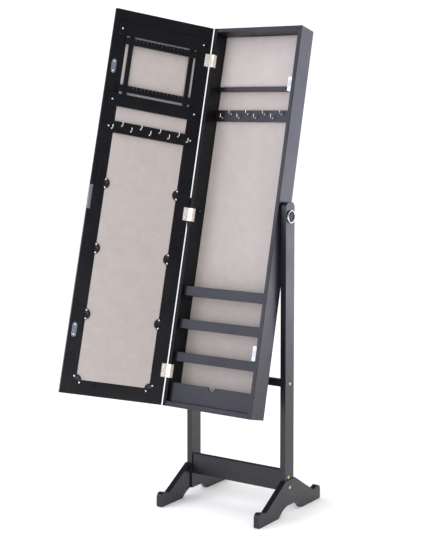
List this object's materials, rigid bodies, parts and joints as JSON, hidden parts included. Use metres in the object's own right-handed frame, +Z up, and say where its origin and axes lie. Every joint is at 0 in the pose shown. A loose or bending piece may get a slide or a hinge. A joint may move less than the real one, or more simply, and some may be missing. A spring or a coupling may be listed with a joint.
{
  "type": "standing jewelry armoire",
  "caption": "Free-standing jewelry cabinet that tilts between two footed uprights, with a mirror door, lined shelves, hook rails and an earring rack.",
  "frame": {"origin": "on the floor, below the middle of the whole piece as it stands with its door open", "axes": "+Z up, +Y to the cabinet's back, +X to the right of someone facing the cabinet"},
  "size_m": [0.5537, 0.5968, 1.5104],
  "materials": {
    "stand_paint": "satin black paint over fibreboard",
    "brass_bolts": "polished",
    "washer_steel": "zinc plated",
    "knob_plastic": "gloss",
    "knob_chrome": "polished",
    "cabinet_paint": "satin black paint over fibreboard",
    "taupe_lining": "flocked lining",
    "nickel": "nickel plated",
    "catch_white": "matt",
    "door_paint": "satin black paint over fibreboard",
    "mirror": "silvered",
    "board_brown": "raw hardboard",
    "clip_black": "satin",
    "pull_satin": "satin"
  },
  "bodies": {
    "stand": {"upright_left": "stand_paint", "upright_right": "stand_paint", "foot_left": "stand_paint", "foot_right": "stand_paint", "stretcher": "stand_paint", "mid_rail": "stand_paint", "stand_bolts": "brass_bolts", "pivot_washers": "washer_steel"},
    "cabinet": {"side_panel_left": "cabinet_paint", "side_panel_right": "cabinet_paint", "top_board": "cabinet_paint", "bottom_board": "cabinet_paint", "back_board": "cabinet_paint", "back_lining": "taupe_lining", "brooch_pad": "taupe_lining", "brooch_shelf": "cabinet_paint", "cabinet_hook_rail": "cabinet_paint", "cabinet_hooks": "nickel", "shelf_upper": "cabinet_paint", "shelf_middle": "cabinet_paint", "shelf_lower": "cabinet_paint", "shelf_lip_upper": "cabinet_paint", "shelf_lip_middle": "cabinet_paint", "shelf_lip_lower": "cabinet_paint", "tray_front": "cabinet_paint", "magnet_catches": "catch_white", "cabinet_hinge_leaves": "nickel", "cabinet_hinge_screws": "nickel", "hinge_pins": "nickel", "pivot_inserts": "washer_steel"},
    "door": {"door_stile_hinge_side": "door_paint", "door_stile_free_side": "door_paint", "door_rail_top": "door_paint", "door_rail_bottom": "door_paint", "mirror_glass": "mirror", "mirror_board": "board_brown", "door_lining": "taupe_lining", "panel_clips": "clip_black", "door_screws": "nickel", "rack_rail_top": "door_paint", "rack_rail_bottom": "door_paint", "rack_upright_hinge_side": "door_paint", "rack_upright_free_side": "door_paint", "rack_bar_upper": "door_paint", "rack_bar_lower": "door_paint", "door_hook_bar": "door_paint", "door_hooks": "nickel", "strike_plates": "nickel", "door_pull": "pull_satin", "door_hinge_leaves": "nickel", "door_hinge_screws": "nickel"},
    "left_knob": {"knob_left": "knob_plastic", "knob_left_rim": "knob_chrome", "pivot_bolt_left": "washer_steel"},
    "right_knob": {"knob_right": "knob_plastic", "knob_right_rim": "knob_chrome", "pivot_bolt_right": "washer_steel"}
  },
  "joints": [
    {"name": "cabinet_tilt", "type": "hinge", "parent": "stand", "child": "cabinet", "pos_m": [0.09206, 0.12089, 0.887], "axis": [1, 0, 0], "range_deg": [-4, 8.5]},
    {"name": "door_swing", "type": "hinge", "parent": "cabinet", "child": "door", "pos_m": [-0.06594, 0.07786, 0.8842], "axis": [0, 0.239, 0.971], "range_deg": [0, 129]},
    {"name": "left_knob_turn", "type": "hinge", "parent": "stand", "child": "left_knob", "pos_m": [0.09206, 0.12089, 0.887], "axis": [-1, 0, 0], "range_deg": [0, 180]},
    {"name": "right_knob_turn", "type": "hinge", "parent": "stand", "child": "right_knob", "pos_m": [0.09206, 0.12089, 0.887], "axis": [1, 0, 0], "range_deg": [0, 180]}
  ]
}
